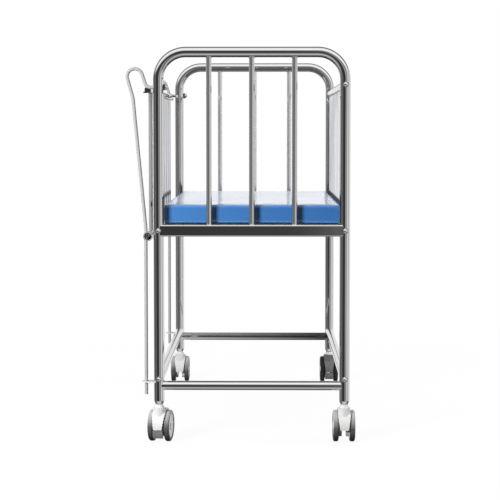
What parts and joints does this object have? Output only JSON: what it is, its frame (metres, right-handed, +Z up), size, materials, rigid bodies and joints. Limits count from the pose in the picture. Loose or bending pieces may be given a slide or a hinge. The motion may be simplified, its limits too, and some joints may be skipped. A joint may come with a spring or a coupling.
{
  "type": "hospital bassinet",
  "caption": "Steel-tube hospital bassinet with barred ends, a fixed guard, a drop side on bent guide rods, a padded mattress and swivelling twin-wheel casters.",
  "frame": {"origin": "on the floor under the middle of the whole part", "axes": "+Z up, +Y along the bed from the front end frame to the rear one, +X across it from the drop side to the fixed guard"},
  "size_m": [0.543, 0.8932, 0.939],
  "materials": {
    "polished_stainless": "polished stainless steel tube",
    "sheet_steel": "satin stainless sheet",
    "plated_steel": "bright zinc or nickel plate",
    "blue_vinyl": "coated blue mattress cover",
    "white_plastic": "moulded, fine texture",
    "light_grey_plastic": "moulded",
    "mid_grey_plastic": "moulded",
    "grey_tyre": "smooth thermoplastic tread"
  },
  "bodies": {
    "frame": {"caster_stems": "plated_steel", "deck_bolts": "plated_steel", "deck_cross_bar": "polished_stainless", "deck_end_rail_front": "polished_stainless", "deck_end_rail_rear": "polished_stainless", "deck_panel": "sheet_steel", "deck_side_rail_left": "polished_stainless", "deck_side_rail_right": "polished_stainless", "end_bars_front": "polished_stainless", "end_bars_rear": "polished_stainless", "guard_bars": "polished_stainless", "guard_bolts": "plated_steel", "guard_top_rail": "polished_stainless", "guide_rod_front": "polished_stainless", "guide_rod_rear": "polished_stainless", "hoop_front": "polished_stainless", "hoop_rear": "polished_stainless", "leg_ferrules": "plated_steel", "lower_bolts": "plated_steel", "lower_cross_tube_front": "polished_stainless", "lower_cross_tube_rear": "polished_stainless", "lower_side_tube_left": "polished_stainless", "lower_side_tube_right": "polished_stainless", "rod_nuts": "plated_steel", "rod_tabs": "polished_stainless"},
    "gate": {"gate_top_rail": "polished_stainless", "gate_bottom_rail": "polished_stainless", "gate_bars": "polished_stainless", "gate_forks": "polished_stainless"},
    "mattress": {"mattress": "blue_vinyl"},
    "caster_front_left": {"caster_front_left_hood": "white_plastic", "caster_front_left_axle": "plated_steel"},
    "wheel_front_left_left": {"caster_front_left_tyre_left": "grey_tyre", "caster_front_left_hub_left": "light_grey_plastic"},
    "wheel_front_left_right": {"caster_front_left_tyre_right": "grey_tyre", "caster_front_left_hub_right": "light_grey_plastic"},
    "pedal_front_left": {"caster_front_left_pedal": "mid_grey_plastic"},
    "caster_front_right": {"caster_front_right_hood": "white_plastic", "caster_front_right_axle": "plated_steel"},
    "wheel_front_right_left": {"caster_front_right_tyre_left": "grey_tyre", "caster_front_right_hub_left": "light_grey_plastic"},
    "wheel_front_right_right": {"caster_front_right_tyre_right": "grey_tyre", "caster_front_right_hub_right": "light_grey_plastic"},
    "caster_rear_left": {"caster_rear_left_hood": "white_plastic", "caster_rear_left_axle": "plated_steel"},
    "wheel_rear_left_left": {"caster_rear_left_tyre_left": "grey_tyre", "caster_rear_left_hub_left": "light_grey_plastic"},
    "wheel_rear_left_right": {"caster_rear_left_tyre_right": "grey_tyre", "caster_rear_left_hub_right": "light_grey_plastic"},
    "caster_rear_right": {"caster_rear_right_hood": "white_plastic", "caster_rear_right_axle": "plated_steel"},
    "wheel_rear_right_left": {"caster_rear_right_tyre_left": "grey_tyre", "caster_rear_right_hub_left": "light_grey_plastic"},
    "wheel_rear_right_right": {"caster_rear_right_tyre_right": "grey_tyre", "caster_rear_right_hub_right": "light_grey_plastic"},
    "pedal_rear_right": {"caster_rear_right_pedal": "mid_grey_plastic"}
  },
  "joints": [
    {"name": "gate_drop", "type": "slide", "parent": "frame", "child": "gate", "axis": [0, 0, 1], "range_m": [-0.3335, 0]},
    {"name": "mattress_lift", "type": "slide", "parent": "frame", "child": "mattress", "axis": [0, 0, 1], "range_m": [0, 0.4]},
    {"name": "caster_front_left_swivel", "type": "hinge", "parent": "frame", "child": "caster_front_left", "pos_m": [-0.19445, -0.42088, 0.084], "axis": [0, 0, 1], "continuous": true},
    {"name": "wheel_front_left_left_spin", "type": "hinge", "parent": "caster_front_left", "child": "wheel_front_left_left", "pos_m": [-0.19195, -0.40306, 0.0375], "axis": [0.9903, -0.1392, 0], "continuous": true},
    {"name": "wheel_front_left_right_spin", "type": "hinge", "parent": "caster_front_left", "child": "wheel_front_left_right", "pos_m": [-0.19195, -0.40306, 0.0375], "axis": [0.9903, -0.1392, 0], "continuous": true},
    {"name": "pedal_front_left_press", "type": "hinge", "parent": "caster_front_left", "child": "pedal_front_left", "pos_m": [-0.19195, -0.40306, 0.0375], "axis": [0.9903, -0.1392, 0], "range_deg": [0, 12]},
    {"name": "caster_front_right_swivel", "type": "hinge", "parent": "frame", "child": "caster_front_right", "pos_m": [0.24555, -0.42088, 0.084], "axis": [0, 0, 1], "continuous": true},
    {"name": "wheel_front_right_left_spin", "type": "hinge", "parent": "caster_front_right", "child": "wheel_front_right_left", "pos_m": [0.24555, -0.40288, 0.0375], "axis": [1, 0, 0], "continuous": true},
    {"name": "wheel_front_right_right_spin", "type": "hinge", "parent": "caster_front_right", "child": "wheel_front_right_right", "pos_m": [0.24555, -0.40288, 0.0375], "axis": [1, 0, 0], "continuous": true},
    {"name": "caster_rear_left_swivel", "type": "hinge", "parent": "frame", "child": "caster_rear_left", "pos_m": [-0.19445, 0.39112, 0.084], "axis": [0, 0, 1], "continuous": true},
    {"name": "wheel_rear_left_left_spin", "type": "hinge", "parent": "caster_rear_left", "child": "wheel_rear_left_left", "pos_m": [-0.19445, 0.40912, 0.0375], "axis": [1, 0, 0], "continuous": true},
    {"name": "wheel_rear_left_right_spin", "type": "hinge", "parent": "caster_rear_left", "child": "wheel_rear_left_right", "pos_m": [-0.19445, 0.40912, 0.0375], "axis": [1, 0, 0], "continuous": true},
    {"name": "caster_rear_right_swivel", "type": "hinge", "parent": "frame", "child": "caster_rear_right", "pos_m": [0.24555, 0.39112, 0.084], "axis": [0, 0, 1], "continuous": true},
    {"name": "wheel_rear_right_left_spin", "type": "hinge", "parent": "caster_rear_right", "child": "wheel_rear_right_left", "pos_m": [0.24555, 0.40912, 0.0375], "axis": [1, 0, 0], "continuous": true},
    {"name": "wheel_rear_right_right_spin", "type": "hinge", "parent": "caster_rear_right", "child": "wheel_rear_right_right", "pos_m": [0.24555, 0.40912, 0.0375], "axis": [1, 0, 0], "continuous": true},
    {"name": "pedal_rear_right_press", "type": "hinge", "parent": "caster_rear_right", "child": "pedal_rear_right", "pos_m": [0.24555, 0.40912, 0.0375], "axis": [1, 0, 0], "range_deg": [0, 12]}
  ]
}
